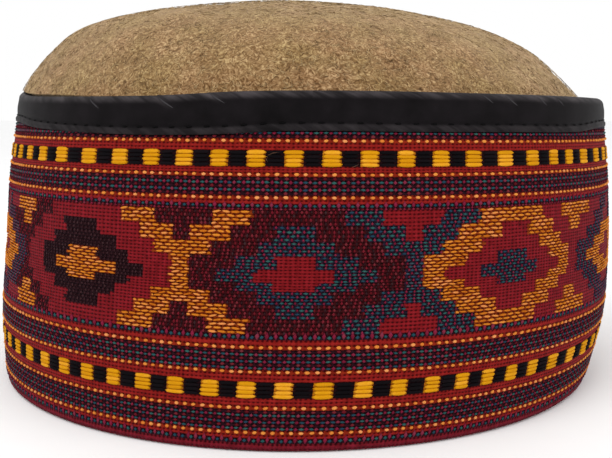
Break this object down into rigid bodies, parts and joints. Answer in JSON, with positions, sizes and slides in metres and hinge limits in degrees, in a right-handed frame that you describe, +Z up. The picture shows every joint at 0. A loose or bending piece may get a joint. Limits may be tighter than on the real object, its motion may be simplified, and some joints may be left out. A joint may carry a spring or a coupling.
{
  "type": "skull cap",
  "caption": "Round upright cap with a puffed felt crown inside a patterned woven band, whose free top edge is bound with tape; worn on the head, rests on its hem.",
  "frame": {"origin": "middle of the cap's base, on the plane that its hem rests on", "axes": "+Z up through the crown, -Y the side that faces the viewer, +X to the viewer's right"},
  "size_m": [0.2015, 0.198, 0.1201],
  "materials": {
    "wool_felt": "fulled olive-brown wool felt, hairy, with paler and darker fibres",
    "woven_cloth": "crimson pattern weave of yellow, teal and black wool yarns in stripes, checks and stepped diamonds",
    "satin_tape": "black bias-cut satin tape, slightly glossy, creased, topstitched near its lower edge"
  },
  "bodies": {
    "root": {"crown": "wool_felt", "band": "woven_cloth", "binding": "satin_tape"}
  },
  "joints": []
}
